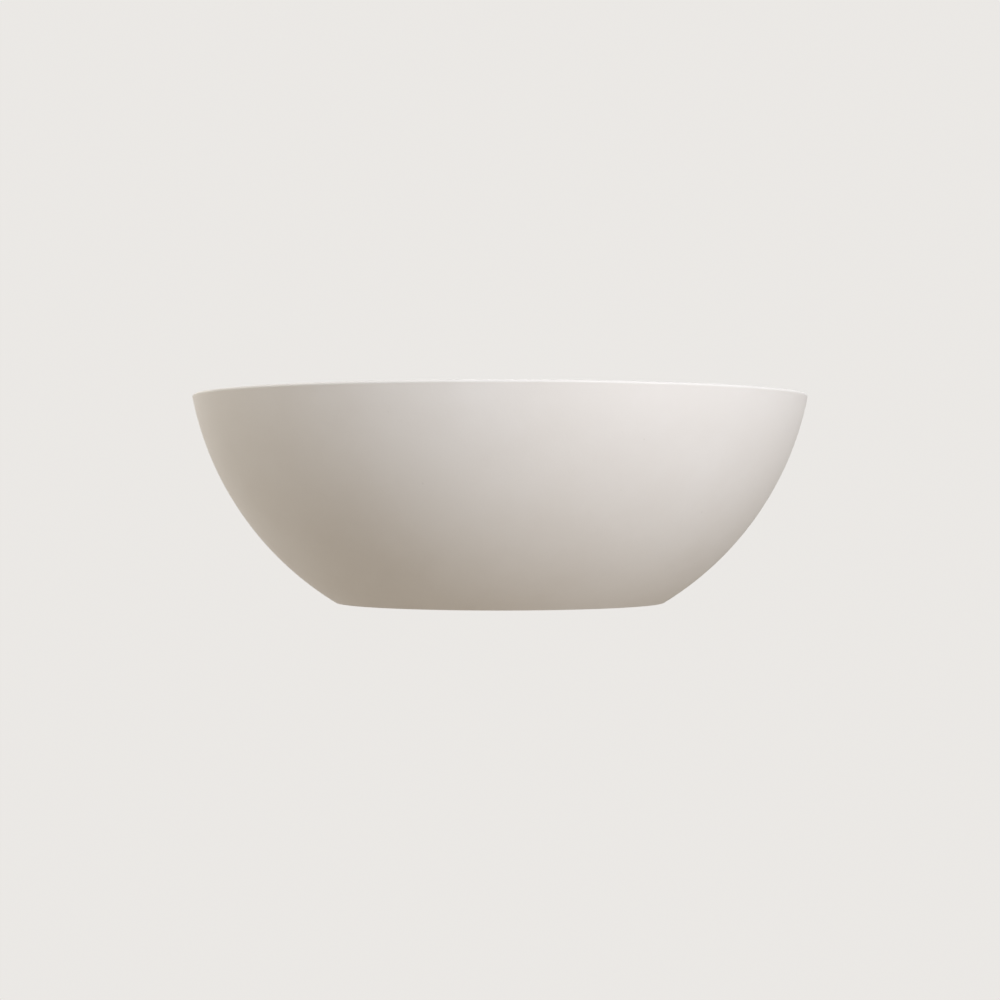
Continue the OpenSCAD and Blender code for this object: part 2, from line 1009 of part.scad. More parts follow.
module lead_sleeves() {
  color([0.92, 0.90, 0.84]) {
    wire(route_end(live_route, sleeve_live), sleeve_r, sleeve_hole);
    wire(route_end(neutral_route, sleeve_neutral), sleeve_r, sleeve_hole);
  }
}

module wire_ferrules() {
  color(zinc)
    for (p = poles)
      at_pole(p)
        translate([0, 0, -block_l / 2]) {
          cylinder(h = ferrule_l, r = ferrule_r);
          translate([0, 0, -collar_l])
            linear_extrude(collar_l)
              ring(wire_r + collar_t, wire_r);
        }
}

module earth_tag() {
  ring_r = 2.1 * earth_screw_r;
  bottom = barrel_top - barrel_l;
  color(zinc) {
    difference() {
      union() {
        peg(earth_x, earth_z, pan_d, pan_d + tag_t, ring_r);
        translate([earth_x - neck_w / 2, -pan_d - tag_t, earth_z])
          cube([neck_w, tag_t, bottom + barrel_floor - earth_z]);
        post(earth_x, barrel_out, bottom, barrel_top, barrel_r);
      }
      post(earth_x, barrel_out, bottom + barrel_floor, barrel_top + past, wire_r);
      peg(earth_x, earth_z, pan_d - past, pan_d + tag_t + past, earth_screw_r + hole_gap);
    }
  }
}

// A shakeproof washer: a ring with teeth round its outside
module earth_washer() {
  teeth = 10;
  notch = 0.6;
  washer_r = 1.9 * earth_screw_r;
  color(zinc)
    translate([earth_x, -pan_d - tag_t, earth_z])
      rotate([90, 0, 0])
        linear_extrude(shake_t)
          difference() {
            ring(washer_r, earth_screw_r + hole_gap);
            for (i = [0:teeth - 1])
              rotate(i * 360 / teeth)
                translate([washer_r - notch, -notch / 2])
                  square([notch + past, notch]);
          }
}

module earth_screw() {
  under = pan_d + tag_t + shake_t;
  color(zinc)
    translate([earth_x, -under, earth_z])
      rotate([90, 0, 0])
        dome_screw(earth_screw_r, under - wall_clear);
}

// ---- Lamp ----

// A narrow foot, a cone, a round collar and the spigot that the cover sits on
module bulb_base() {
  color([0.94, 0.94, 0.93])
    translate([0, -lamp_out, base_z]) {
      linear_extrude(neck_h)
        rounded(bulb_d - 2 * neck_round, neck_d, neck_d / 2 - neck_round);
      translate([0, 0, collar_from])
        cylinder(h = collar_h, r1 = neck_d / 2, r2 = bulb_r);
      translate([0, 0, collar_from + collar_h])
        cylinder(h = base_h - collar_from - collar_h, r = bulb_r);
      translate([0, 0, base_h])
        cylinder(h = spigot_h, r = bulb_r - cover_t);
    }
}

// Two loops of wire, side by side
module bulb_pins() {
  drop = pin_l - loop_half - loop_r;
  color(zinc)
    for (side = [-1, 1])
      translate([side * pin_pitch / 2, -lamp_out, base_z]) {
        for (x = [-loop_half, loop_half])
          translate([x, 0, -drop])
            cylinder(h = drop, r = loop_r, $fn = 48);
        translate([0, 0, -drop])
          rotate([-90, 0, 0])
            rotate_extrude(angle = 180)
              translate([loop_half, 0])
                circle(loop_r, $fn = 48);
      }
}

module bulb_board() {
  color([0.96, 0.96, 0.95])
    translate([-board_w / 2, -lamp_out - board_t / 2, cover_z + spigot_h])
      cube([board_w, board_t, board_h - spigot_h]);
}

module bulb_chips() {
  step = (board_h - spigot_h) / chip_rows;
  color([0.95, 0.85, 0.35])
    for (face = [-1, 1], x = [-1, 1], row = [0:chip_rows - 1])
      translate([
        x * board_w / 4 - chip / 2,
        -lamp_out + face * (board_t + chip_t) / 2 - chip_t / 2,
        cover_z + spigot_h + (row + 0.5) * step - chip / 2
      ])
        cube([chip, chip_t, chip]);
}

module dome_profile(r, top) {
  square([r, top - r]);
  intersection() {
    translate([0, top - r])
      circle(r);
    translate([0, top - r])
      square(r);
  }
}

module bulb_cover() {
  color([0.98, 0.96, 0.90, 0.6])
    translate([0, -lamp_out, cover_z])
      rotate_extrude()
        difference() {
          dome_profile(bulb_r, bulb_h);
          translate([0, -past])
            dome_profile(bulb_r - cover_t, bulb_h - cover_t + past);
        }
}

shade();
shade_inserts();
thumbscrew_left();
thumbscrew_right();
washer_left();
washer_right();
wall_bracket();
cable_grommet();
lampholder_arm();
arm_screws();
arm_nuts();
lampholder();
lamp_contacts();
lampholder_screws();
lampholder_nuts();
terminal_block();
terminal_tubes();
terminal_screws();
terminal_fixing();
lead_live();
lead_neutral();
lead_earth();
lead_sleeves();
wire_ferrules();
earth_tag();
earth_washer();
earth_screw();
bulb_base();
bulb_pins();
bulb_board();
bulb_chips();
bulb_cover();
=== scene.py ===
import json
import math

import bpy
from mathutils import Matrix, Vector

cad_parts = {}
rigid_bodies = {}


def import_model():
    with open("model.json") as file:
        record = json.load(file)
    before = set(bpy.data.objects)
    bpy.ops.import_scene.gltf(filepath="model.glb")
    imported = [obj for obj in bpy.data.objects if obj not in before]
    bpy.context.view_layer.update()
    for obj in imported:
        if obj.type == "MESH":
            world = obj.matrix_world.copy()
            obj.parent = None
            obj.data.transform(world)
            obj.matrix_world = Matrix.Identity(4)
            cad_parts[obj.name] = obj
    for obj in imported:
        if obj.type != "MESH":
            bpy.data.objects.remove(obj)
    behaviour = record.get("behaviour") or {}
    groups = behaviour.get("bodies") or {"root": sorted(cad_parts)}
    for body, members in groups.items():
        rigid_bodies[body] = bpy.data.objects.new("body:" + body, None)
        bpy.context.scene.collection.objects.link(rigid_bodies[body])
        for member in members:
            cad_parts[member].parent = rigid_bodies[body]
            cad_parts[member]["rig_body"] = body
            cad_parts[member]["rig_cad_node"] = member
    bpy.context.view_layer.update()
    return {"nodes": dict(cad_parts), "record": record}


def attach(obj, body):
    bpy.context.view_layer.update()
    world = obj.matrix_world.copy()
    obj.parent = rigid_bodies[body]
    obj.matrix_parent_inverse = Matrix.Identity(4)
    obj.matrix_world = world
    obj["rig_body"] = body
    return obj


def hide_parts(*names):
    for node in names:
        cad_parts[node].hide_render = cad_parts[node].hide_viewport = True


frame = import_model()
nodes = frame["nodes"]
record = frame["record"]
bodyOf = {name: body for body, members in record["behaviour"]["bodies"].items() for name in members}
bpy.ops.object.select_all(action="DESELECT")
print("frame loaded:", len(nodes), "nodes")

# ---------- camera, lights and floor ----------

photoView = {
    "distance": 1.014,      # from the wall, worked out from the photo's perspective
    "height": -0.0002,
    "lens": 74.15,
    "sensor": 36.0,
    "farthest": 60,
}


def addCamera():
    camera = bpy.data.objects.new("camera", bpy.data.cameras.new("camera"))
    bpy.context.scene.collection.objects.link(camera)
    camera.location = (0, -photoView["distance"], photoView["height"])
    camera.rotation_euler = (math.radians(90), 0, 0)
    camera.data.lens = photoView["lens"]
    camera.data.sensor_width = photoView["sensor"]
    camera.data.clip_end = photoView["farthest"]
    bpy.context.scene.camera = camera


studio = {
    "background": (0.83, 0.81, 0.785, 1),
    "ambient": (1.0, 0.92, 0.80, 1),
    "ambientLight": 0.155,
    "floorLevel": -1.5,
    "floorRadius": 9,
    "floorPaint": (0.53, 0.475, 0.405, 1),
    "floorRough": 0.9,
    "fadeLeast": 0.75,      # how much of the plain background shows in the floor near the light
    "fadeFrom": 1.6,        # distance at which the floor starts to fade into the background
    "fadeTo": 3.4,
    "softboxes": [
        # name, place, aimed at, size, power, colour
        ("key", (1.17, -1.64, 1.02), (0, -0.05, 0), 1.8, 62, (0.91, 0.932, 1.0)),
        ("side", (-2.04, 0.36, 0.75), (0, -0.05, 0), 1.6, 19, (1.0, 0.94, 0.86)),
        ("fill", (-1.88, -1.08, 0.38), (0, -0.05, 0), 1.5, 4.5, (1.0, 0.96, 0.92)),
        ("rear", (-0.6, 2.0, 1.4), (0, 0, 0), 3.4, 31, (1.0, 0.98, 0.96)),
        ("low", (0.1, -0.5, -1.3), (0, -0.05, 0), 0.9, 1.0, (1.0, 0.74, 0.42)),
    ],
}


def addSoftbox(name, place, target, size, power, colour):
    light = bpy.data.objects.new(name, bpy.data.lights.new(name, "AREA"))
    bpy.context.scene.collection.objects.link(light)
    light.location = place
    light.rotation_euler = (Vector(target) - Vector(place)).to_track_quat("-Z", "Y").to_euler()
    light.data.size = size
    light.data.energy = power
    light.data.color = colour


# ---------- node helpers ----------

def addNode(tree, kind, sockets=None, **settings):
    node = tree.nodes.new("ShaderNode" + kind)
    for name, value in settings.items():
        setattr(node, name, value)
    for name, value in (sockets or {}).items():
        if isinstance(value, bpy.types.NodeSocket):
            tree.links.new(value, node.inputs[name])
        else:
            node.inputs[name].default_value = value
    return node


def calculate(tree, operation, *values):
    sockets = dict(enumerate(values))
    return addNode(tree, "Math", sockets, operation=operation).outputs[0]


def levelPart(tree, place):
    return addNode(tree, "VectorMath", {0: place, 1: (1, 1, 0)}, operation="MULTIPLY").outputs[0]


def lengthOf(tree, vector):
    return addNode(tree, "VectorMath", {0: vector}, operation="LENGTH").outputs["Value"]


def seenDirectly(tree):
    # camera, mirror and glass rays
    path = addNode(tree, "LightPath")
    kinds = ("Camera", "Glossy", "Transmission")
    camera, mirror, glass = (path.outputs[f"Is {kind} Ray"] for kind in kinds)
    return calculate(tree, "MAXIMUM", calculate(tree, "MAXIMUM", camera, mirror), glass)


def addWorld():
    world = bpy.data.worlds.new("studio")
    bpy.context.scene.world = world
    world.use_nodes = True
    tree = world.node_tree
    tree.nodes.clear()
    light = addNode(tree, "Background", {"Color": studio["ambient"],
                                         "Strength": studio["ambientLight"]})
    plain = addNode(tree, "Background", {"Color": studio["background"]})
    direct = seenDirectly(tree)
    mix = addNode(tree, "MixShader", {0: direct, 1: light.outputs[0], 2: plain.outputs[0]})
    addNode(tree, "OutputWorld", {"Surface": mix.outputs[0]})


def addFloor():
    bpy.ops.mesh.primitive_circle_add(
        vertices=96, radius=studio["floorRadius"], fill_type="NGON",
        location=(0, 0, studio["floorLevel"]))
    floor = bpy.context.object
    floor.name = "floor"
    bpy.ops.object.transform_apply(location=True)
    paint = bpy.data.materials.new("floorPaint")
    paint.use_nodes = True
    tree = paint.node_tree
    matt = tree.nodes["Principled BSDF"]
    matt.inputs["Base Color"].default_value = studio["floorPaint"]
    matt.inputs["Roughness"].default_value = studio["floorRough"]
    place = addNode(tree, "TexCoord").outputs["Object"]
    distance = lengthOf(tree, levelPart(tree, place))
    far = addNode(tree, "MapRange", {"Value": distance, "From Min": studio["fadeFrom"],
                                     "From Max": studio["fadeTo"], "To Min": studio["fadeLeast"]},
                  interpolation_type="SMOOTHSTEP")
    fade = calculate(tree, "MULTIPLY", far.outputs[0], seenDirectly(tree))
    plain = addNode(tree, "Emission", {"Color": studio["background"]})
    mix = addNode(tree, "MixShader", {0: fade, 1: matt.outputs[0], 2: plain.outputs[0]})
    tree.links.new(mix.outputs[0], tree.nodes["Material Output"].inputs["Surface"])
    floor.data.materials.append(paint)
    floor.select_set(False)


addCamera()
addWorld()
addFloor()
for box in studio["softboxes"]:
    addSoftbox(*box)
bpy.context.scene.view_settings.view_transform = "Standard"
print("camera, lights and floor set")

# ---------- effects that several finishes share ----------

def newGroup(name, inputs, outputs):
    group = bpy.data.node_groups.new(name, "ShaderNodeTree")
    for label, kind, value in inputs:
        socket = group.interface.new_socket(
            label, in_out="INPUT", socket_type="NodeSocket" + kind)
        socket.default_value = value
    for label, kind in outputs:
        group.interface.new_socket(label, in_out="OUTPUT", socket_type="NodeSocket" + kind)
    given = group.nodes.new("NodeGroupInput").outputs
    result = group.nodes.new("NodeGroupOutput").inputs
    return group, given, result


def useGroup(tree, group, **sockets):
    node = tree.nodes.new("ShaderNodeGroup")
    node.node_tree = group
    for name, value in sockets.items():
        if isinstance(value, bpy.types.NodeSocket):
            tree.links.new(value, node.inputs[name])
        else:
            node.inputs[name].default_value = value
    return node.outputs[0]


def stretchedPlace(tree, stretch, turn=(0, 0, 0)):
    place = addNode(tree, "TexCoord").outputs["Object"]
    mapping = addNode(tree, "Mapping", {"Vector": place, "Scale": stretch, "Rotation": turn})
    return mapping.outputs[0]


def softStep(tree, value, low, high):
    step = addNode(tree, "MapRange", {"Value": value, "From Min": low, "From Max": high},
                   interpolation_type="SMOOTHSTEP")
    return step.outputs[0]


def mixColours(tree, mask, first, second):
    return addNode(tree, "Mix", {0: mask, 6: first, 7: second}, data_type="RGBA").outputs[2]


def makeGrain():
    # even noise from 0 to 1, drawn out along one direction for brushed or rolled metal
    group, given, result = newGroup(
        "grain",
        [("Scale", "Float", 500), ("Stretch", "Vector", (1, 1, 1)), ("Detail", "Float", 3)],
        [("Value", "Float")])
    noise = addNode(group, "TexNoise", {"Vector": stretchedPlace(group, given["Stretch"]),
                                        "Scale": given["Scale"], "Detail": given["Detail"]})
    level = addNode(group, "MapRange", {"Value": noise.outputs[0],
                                        "From Min": 0.3, "From Max": 0.7})
    group.links.new(level.outputs[0], result["Value"])
    return group


def makeTwoTone():
    # soft patches of a second colour
    group, given, result = newGroup(
        "twoTone",
        [("First", "Color", (1, 1, 1, 1)), ("Second", "Color", (1, 1, 1, 1)),
         ("Scale", "Float", 30), ("Share", "Float", 0.5)],
        [("Colour", "Color")])
    noise = addNode(group, "TexNoise", {"Vector": stretchedPlace(group, (1, 1, 1)),
                                        "Scale": given["Scale"], "Detail": 5, "Roughness": 0.6})
    low = calculate(group, "SUBTRACT", 0.85, given["Share"])
    high = calculate(group, "SUBTRACT", 1.15, given["Share"])
    mask = softStep(group, noise.outputs[0], low, high)
    group.links.new(mixColours(group, mask, given["First"], given["Second"]), result["Colour"])
    return group


def makeDust():
    # thin dust on what faces up
    group, given, result = newGroup(
        "dust", [("Amount", "Float", 0.3), ("Scale", "Float", 90)], [("Mask", "Float")])
    normal = addNode(group, "NewGeometry").outputs["Normal"]
    up = addNode(group, "SeparateXYZ", {0: normal}).outputs["Z"]
    level = addNode(group, "MapRange", {"Value": up, "From Min": 0.45, "From Max": 0.98}).outputs[0]
    noise = addNode(group, "TexNoise", {"Vector": stretchedPlace(group, (1, 1, 1)),
                                        "Scale": given["Scale"], "Detail": 6})
    patches = addNode(group, "MapRange", {"Value": noise.outputs[0],
                                          "From Min": 0.35, "From Max": 0.7}).outputs[0]
    dusty = calculate(group, "MULTIPLY", level, patches)
    group.links.new(calculate(group, "MULTIPLY", dusty, given["Amount"]), result["Mask"])
    return group


def makePores():
    # a few small round pits, as in a cast or fired surface
    group, given, result = newGroup(
        "pores", [("Scale", "Float", 300), ("Size", "Float", 0.2), ("Share", "Float", 0.1)],
        [("Mask", "Float")])
    cells = addNode(group, "TexVoronoi", {"Vector": stretchedPlace(group, (1, 1, 1)),
                                          "Scale": given["Scale"]})
    bottom = calculate(group, "MULTIPLY", given["Size"], 0.4)
    pit = addNode(group, "MapRange", {"Value": cells.outputs["Distance"], "From Min": given["Size"],
                                      "From Max": bottom}).outputs[0]
    chance = addNode(group, "SeparateColor", {0: cells.outputs["Color"]}).outputs[0]
    chosen = calculate(group, "LESS_THAN", chance, given["Share"])
    group.links.new(calculate(group, "MULTIPLY", pit, chosen), result["Mask"])
    return group


def makeScratches():
    # short fine lines in two directions
    group, given, result = newGroup(
        "scratches", [("Scale", "Float", 90), ("Width", "Float", 0.012)], [("Mask", "Float")])
    masks = []
    for turn, stretch in (((0.4, 0.3, 0.5), (1, 16, 16)), ((-0.5, 0.9, -0.7), (16, 16, 1))):
        noise = addNode(group, "TexNoise", {"Vector": stretchedPlace(group, stretch, turn),
                                            "Scale": given["Scale"], "Detail": 1})
        away = calculate(group, "ABSOLUTE", calculate(group, "SUBTRACT", noise.outputs[0], 0.5))
        line = addNode(group, "MapRange", {"Value": away, "From Min": given["Width"],
                                           "From Max": 0}).outputs[0]
        gate = addNode(group, "TexNoise", {"Vector": stretchedPlace(group, (1, 1, 1), turn),
                                           "Scale": 60, "Detail": 0}).outputs[0]
        here = calculate(group, "GREATER_THAN", gate, 0.58)
        masks.append(calculate(group, "MULTIPLY", line, here))
    group.links.new(calculate(group, "MAXIMUM", *masks), result["Mask"])
    return group


def makeBand():
    # 1 between two values, with soft ends
    group, given, result = newGroup(
        "band",
        [("Value", "Float", 0), ("From", "Float", 0), ("To", "Float", 1),
         ("Soft", "Float", 0.0001)],
        [("Mask", "Float")])
    ends = []
    for edge in ("From", "To"):
        low = calculate(group, "SUBTRACT", given[edge], given["Soft"])
        high = calculate(group, "ADD", given[edge], given["Soft"])
        ends.append(softStep(group, given["Value"], low, high))
    group.links.new(calculate(group, "SUBTRACT", *ends), result["Mask"])
    return group


def makeThread():
    # the flanks of a screw thread along one coordinate
    group, given, result = newGroup(
        "thread", [("Along", "Float", 0), ("Pitch", "Float", 0.0008)], [("Height", "Float")])
    half = calculate(group, "MULTIPLY", given["Pitch"], 0.5)
    height = calculate(group, "DIVIDE", calculate(group, "PINGPONG", given["Along"], half), half)
    group.links.new(height, result["Height"])
    return group


def makeBraid():
    # crossing strands, on tubes that run in any direction
    group, given, result = newGroup("braid", [("Scale", "Float", 4000)], [("Height", "Float")])
    place = addNode(group, "TexCoord").outputs["Object"]
    heights = []
    for direction in ((1, 1, 1), (1, -1, -1), (1, 1, -1)):
        along = addNode(group, "VectorMath", {0: place, 1: direction}, operation="DOT_PRODUCT")
        phase = calculate(group, "MULTIPLY", along.outputs["Value"], given["Scale"])
        wave = calculate(group, "SINE", phase)
        heights.append(calculate(group, "ABSOLUTE", wave))
    first, second, third = heights
    lower = calculate(group, "MINIMUM", first, second)
    group.links.new(calculate(group, "MINIMUM", lower, third), result["Height"])
    return group


effects = {
    "grain": makeGrain(), "twoTone": makeTwoTone(), "dust": makeDust(), "pores": makePores(),
    "scratches": makeScratches(), "band": makeBand(), "thread": makeThread(), "braid": makeBraid(),
}
print("shared effects made")

# ---------- finishes ----------

wearAndShade = {
    "dustColour": (0.62, 0.58, 0.52, 1),
    "dustRough": 0.85,
    "scratchRough": 0.12,
    "scratchShare": 0.25,
    "scratchColour": (0.9, 0.9, 0.9, 1),
    # the darkening of the pores' pits is painted shade
    "poreShadeShare": 0.2,
    "poreShadeColour": (0.45, 0.42, 0.38, 1),
}


def addBump(tree, height, distance, normal=None):
    # the distance is the real height, in metres, of a height of 1
    sockets = {"Height": height, "Strength": 1.0, "Distance": distance}
    if normal:
        sockets["Normal"] = normal
    return addNode(tree, "Bump", sockets).outputs[0]


def makeFinish(name, look):
    material = bpy.data.materials.new(name)
    material.use_nodes = True
    tree = material.node_tree
    shader = tree.nodes["Principled BSDF"]
    for socket, value in look.get("shader", {}).items():
        shader.inputs[socket].default_value = value
    stretch = look.get("stretch", (1, 1, 1))
    grain = useGroup(tree, effects["grain"], Scale=look["grain"], Stretch=stretch,
                     Detail=look.get("detail", 3))
    first, second = look["colours"]
    colour = useGroup(tree, effects["twoTone"], First=(*first, 1), Second=(*second, 1),
                      Scale=look["patches"], Share=look.get("share", 0.5))
    smoothest, roughest = look["rough"]
    rough = addNode(tree, "MapRange", {"Value": grain, "To Min": smoothest,
                                       "To Max": roughest}).outputs[0]
    if "scratched" in look:
        lines = useGroup(tree, effects["scratches"], Scale=look["scratched"])
        duller = calculate(tree, "MULTIPLY", lines, wearAndShade["scratchRough"])
        rough = calculate(tree, "ADD", rough, duller)
        share = calculate(tree, "MULTIPLY", lines, wearAndShade["scratchShare"])
        colour = mixColours(tree, share, colour, wearAndShade["scratchColour"])
    height = grain
    if "pores" in look:
        scale, size, share, depth = look["pores"]
        pits = useGroup(tree, effects["pores"], Scale=scale, Size=size, Share=share)
        # the pits are also darkened in colour: painted shade in them, besides their bump
        paintedShade = calculate(tree, "MULTIPLY", pits, wearAndShade["poreShadeShare"])
        colour = mixColours(tree, paintedShade, colour, wearAndShade["poreShadeColour"])
        height = calculate(tree, "SUBTRACT", grain, calculate(tree, "MULTIPLY", pits, depth))
    if "dust" in look:
        dust = useGroup(tree, effects["dust"], Amount=look["dust"])
        colour = mixColours(tree, dust, colour, wearAndShade["dustColour"])
        rough = addNode(tree, "Mix", {0: dust, 2: rough, 3: wearAndShade["dustRough"]}).outputs[0]
    normal = addBump(tree, height, look["bump"])
    tree.links.new(colour, shader.inputs["Base Color"])
    tree.links.new(rough, shader.inputs["Roughness"])
    tree.links.new(normal, shader.inputs["Normal"])
    return material


def placeOf(tree, axis):
    place = addNode(tree, "TexCoord").outputs["Object"]
    return addNode(tree, "SeparateXYZ", {0: place}).outputs[axis]


def linked(shader, socket):
    # what already feeds one of the shader's sockets
    return shader.inputs[socket].links[0].from_socket


def addThread(material, axis, start, end, pitch, depth):
    # cuts a thread into what lies between two places on an axis, over the finish's own bump
    tree = material.node_tree
    shader = tree.nodes["Principled BSDF"]
    along = placeOf(tree, axis)
    mask = useGroup(tree, effects["band"], Value=along, From=start, To=end, Soft=pitch / 8)
    flank = useGroup(tree, effects["thread"], Along=along, Pitch=pitch)
    height = calculate(tree, "MULTIPLY", flank, mask)
    normal = addBump(tree, height, depth, linked(shader, "Normal"))
    tree.links.new(normal, shader.inputs["Normal"])
    return material


metalShader = {"Metallic": 1.0}

# pores are the scale, size and share of the pits, and their depth against the grain's
finishes = {
    "bisque": {
        "colours": [(0.832, 0.808, 0.772), (0.800, 0.770, 0.728)], "patches": 9, "grain": 950,
        "detail": 4, "rough": (0.56, 0.68), "bump": 0.000012, "pores": (210, 0.11, 0.025, 2.5),
        "shader": {"Specular IOR Level": 0.42},
    },
    "bracketSteel": {
        "colours": [(0.60, 0.61, 0.62), (0.53, 0.545, 0.555)], "patches": 70, "grain": 260,
        "stretch": (1, 14, 14), "rough": (0.30, 0.46), "bump": 0.000006, "scratched": 80,
        "dust": 0.25, "shader": metalShader,
    },
    "armSteel": {
        "colours": [(0.61, 0.62, 0.63), (0.54, 0.55, 0.56)], "patches": 80, "grain": 300,
        "stretch": (14, 14, 1), "rough": (0.28, 0.44), "bump": 0.000006, "scratched": 90,
        "dust": 0.2, "shader": metalShader,
    },
    "zincPlate": {
        "colours": [(0.63, 0.64, 0.66), (0.56, 0.57, 0.60)], "patches": 220, "grain": 900,
        "rough": (0.24, 0.38), "bump": 0.000004, "dust": 0.12, "shader": metalShader,
    },
    "nickel": {
        "colours": [(0.68, 0.67, 0.65), (0.62, 0.61, 0.59)], "patches": 150, "grain": 700,
        "rough": (0.16, 0.30), "bump": 0.000003, "scratched": 160, "dust": 0.15,
        "shader": metalShader,
    },
    "brass": {
        "colours": [(0.68, 0.50, 0.22), (0.50, 0.34, 0.14)], "patches": 260, "share": 0.45,
        "grain": 900, "rough": (0.26, 0.42), "bump": 0.000004, "shader": metalShader,
    },
    "springBrass": {
        "colours": [(0.70, 0.55, 0.28), (0.58, 0.42, 0.20)], "patches": 300, "grain": 800,
        "stretch": (12, 12, 1), "rough": (0.24, 0.38), "bump": 0.000003, "shader": metalShader,
    },
    "tinPlate": {
        "colours": [(0.70, 0.70, 0.69), (0.62, 0.62, 0.62)], "patches": 320, "grain": 1200,
        "rough": (0.22, 0.36), "bump": 0.000003, "shader": metalShader,
    },
    "grommetRubber": {
        "colours": [(0.030, 0.029, 0.028), (0.048, 0.046, 0.044)], "patches": 160, "grain": 1500,
        "rough": (0.60, 0.80), "bump": 0.00001, "dust": 0.35,
        "shader": {"Specular IOR Level": 0.35},
    },
    "holderCeramic": {
        "colours": [(0.80, 0.785, 0.745), (0.76, 0.74, 0.69)], "patches": 90, "grain": 1300,
        "rough": (0.30, 0.46), "bump": 0.000008, "pores": (900, 0.16, 0.07, 2.0), "dust": 0.25,
        "shader": {"Specular IOR Level": 0.5},
    },
    "blockNylon": {
        "colours": [(0.77, 0.77, 0.735), (0.73, 0.73, 0.69)], "patches": 60, "grain": 1100,
        "rough": (0.38, 0.52), "bump": 0.000006, "dust": 0.25,
        "shader": {"Subsurface Weight": 0.08, "Subsurface Scale": 0.002},
    },
    "wireBrown": {
        "colours": [(0.17, 0.070, 0.030), (0.13, 0.052, 0.022)], "patches": 120, "grain": 1600,
        "rough": (0.28, 0.42), "bump": 0.000006, "dust": 0.15,
    },
    "wireBlue": {
        "colours": [(0.035, 0.13, 0.42), (0.026, 0.10, 0.34)], "patches": 120, "grain": 1600,
        "rough": (0.28, 0.42), "bump": 0.000006, "dust": 0.15,
    },
    "wireGreen": {
        "colours": [(0.06, 0.26, 0.045), (0.045, 0.21, 0.035)], "patches": 120, "grain": 1600,
        "rough": (0.28, 0.42), "bump": 0.000006, "dust": 0.15,
    },
    "glassSleeve": {
        "colours": [(0.80, 0.775, 0.70), (0.72, 0.69, 0.61)], "patches": 200, "grain": 1800,
        "rough": (0.70, 0.90), "bump": 0.00001, "dust": 0.2,
    },
    "lampWhite": {
        "colours": [(0.80, 0.80, 0.775), (0.76, 0.755, 0.73)], "patches": 70, "grain": 1500,
        "rough": (0.26, 0.38), "bump": 0.000004, "dust": 0.15,
    },
    "boardWhite": {
        "colours": [(0.80, 0.80, 0.77), (0.74, 0.74, 0.72)], "patches": 400, "grain": 1500,
        "rough": (0.24, 0.36), "bump": 0.000003,
    },
    "phosphor": {
        "colours": [(0.86, 0.62, 0.14), (0.80, 0.55, 0.10)], "patches": 900, "grain": 2000,
        "rough": (0.30, 0.42), "bump": 0.000005,
        "shader": {"Emission Color": (1.0, 0.74, 0.38, 1), "Emission Strength": 1.0},
    },
    "milkyCover": {
        "colours": [(0.80, 0.765, 0.69), (0.77, 0.73, 0.65)], "patches": 50, "grain": 1500,
        "rough": (0.34, 0.46), "bump": 0.000004, "dust": 0.1,
        "shader": {"Emission Color": (1.0, 0.78, 0.48, 1), "Emission Strength": 0.3,
                   "Subsurface Weight": 0.3, "Subsurface Scale": 0.004},
    },
}
paints = {name: makeFinish(name, look) for name, look in finishes.items()}


wiring = {
    "earthX": -0.041,
    "stripe": 0.0009,
    "stripeFade": 0.00005,
    "yellow": (0.72, 0.60, 0.03, 1),
    "braid": 3600,
    "braidHeight": 0.00008,
    # the darkening of the braid's gaps is painted shade between the strands
    "braidGapShade": 0.35,
    "braidGapShadeColour": (0.42, 0.38, 0.31, 1),
}


def stripeEarthWire():
    # two yellow stripes along the wire, whose whole route lies in one plane
    tree = paints["wireGreen"].node_tree
    shader = tree.nodes["Principled BSDF"]
    half = wiring["stripe"] / 2
    side = calculate(tree, "SUBTRACT", placeOf(tree, "X"), wiring["earthX"])
    mask = useGroup(tree, effects["band"], Value=side, From=-half, To=half,
                    Soft=wiring["stripeFade"])
    yellow = mixColours(tree, mask, linked(shader, "Base Color"), wiring["yellow"])
    tree.links.new(yellow, shader.inputs["Base Color"])


def braidSleeves():
    tree = paints["glassSleeve"].node_tree
    shader = tree.nodes["Principled BSDF"]
    strands = useGroup(tree, effects["braid"], Scale=wiring["braid"])
    # painted shade in the gaps between the strands, over the braid's bump
    gap = calculate(tree, "SUBTRACT", 1.0, strands)
    paintedShade = mixColours(tree, calculate(tree, "MULTIPLY", gap, wiring["braidGapShade"]),
                        linked(shader, "Base Color"), wiring["braidGapShadeColour"])
    normal = addBump(tree, strands, wiring["braidHeight"], linked(shader, "Normal"))
    tree.links.new(paintedShade, shader.inputs["Base Color"])
    tree.links.new(normal, shader.inputs["Normal"])


stripeEarthWire()
braidSleeves()
print("finishes made:", len(paints))


def paint(piece, name):
    material = paints[name] if isinstance(name, str) else name
    if not piece.material_slots:
        piece.data.materials.append(material)
    for slot in piece.material_slots:
        slot.material = material


def threaded(name, axis, start, end, pitch, depth):
    # a finish of its own for screws, because their thread has a place and a direction
    finish = makeFinish(f"{name}Thread{axis}{len(bpy.data.materials)}", finishes[name])
    return addThread(finish, axis, start, end, pitch, depth)


# ---------- pieces that get their edges broken ----------

brokenEdge = {
    "merge": 0.000002,
    "flatWithin": math.radians(0.6),    # faces that lie this near one plane become one
    "sharpFrom": math.radians(32),
    "smoothUpTo": math.radians(35),
}


